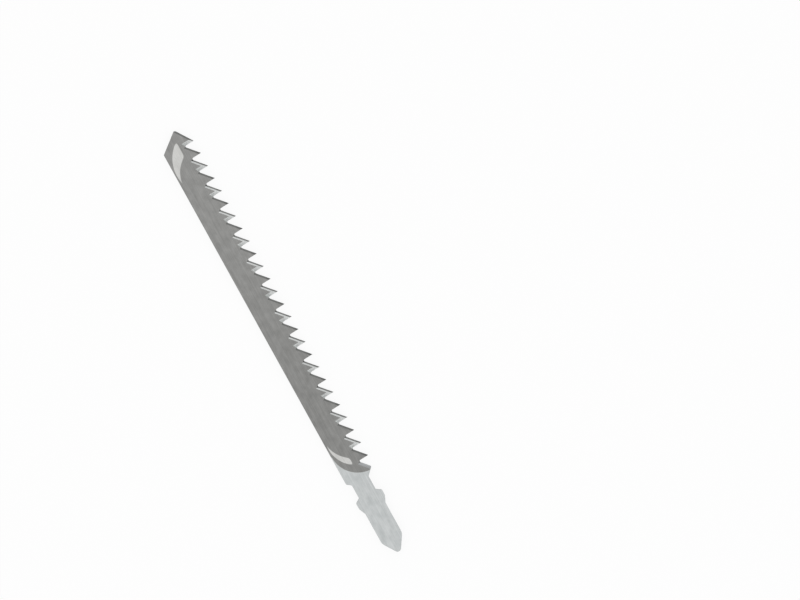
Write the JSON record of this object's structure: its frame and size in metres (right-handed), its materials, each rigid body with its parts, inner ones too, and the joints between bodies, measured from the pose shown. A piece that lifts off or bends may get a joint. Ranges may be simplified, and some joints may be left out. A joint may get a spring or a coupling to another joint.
{
  "type": "jigsaw blade",
  "caption": "Straight jigsaw blade for wood: a thin steel strip with coarse ground teeth set to alternate sides, a slanted nose and a shank with lugs.",
  "frame": {"origin": "middle of the blade's footprint as it lies on its side, at the height of the lowest tooth points", "axes": "+X from the shank to the nose, -Y the side of the teeth, +Z the face that looks up"},
  "size_m": [0.1324, 0.0096, 0.0017],
  "materials": {
    "blade_steel": "satin ground steel, with a matt grey print over the toothed length"
  },
  "bodies": {
    "root": {"jigsaw_blade": "blade_steel"}
  },
  "joints": []
}
